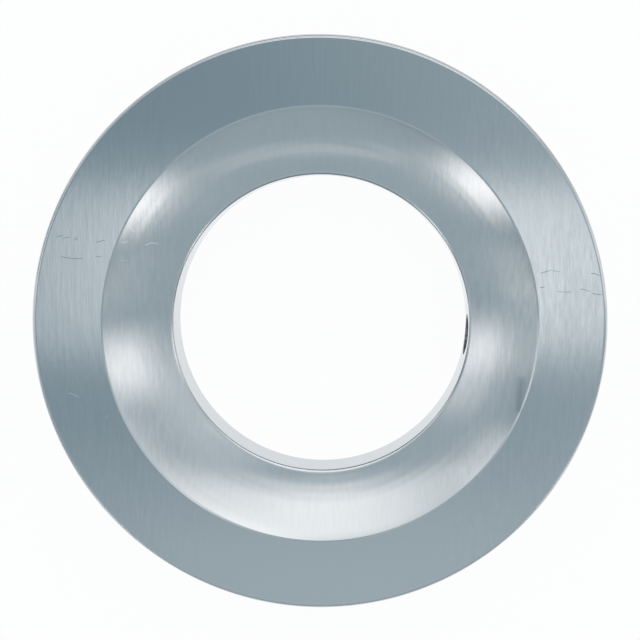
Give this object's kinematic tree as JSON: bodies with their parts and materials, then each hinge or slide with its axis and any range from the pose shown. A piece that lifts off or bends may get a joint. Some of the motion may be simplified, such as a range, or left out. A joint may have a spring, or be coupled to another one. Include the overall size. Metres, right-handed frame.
{
  "type": "filling washer",
  "caption": "Round steel filling washer with a flat back, a concave spherical seat round its bore and a radial hole that lets mortar in from the rim.",
  "frame": {"origin": "on the bore's axis, in the plane of the flat back face", "axes": "+Z along the bore's axis, out of the side with the spherical seat; +X along the filling hole, out of the rim"},
  "size_m": [0.054, 0.054, 0.01],
  "materials": {
    "zinc_plated_steel": "fine straight brush lines under a bright blue-white zinc plating"
  },
  "bodies": {
    "root": {"filling_washer": "zinc_plated_steel"}
  },
  "joints": []
}
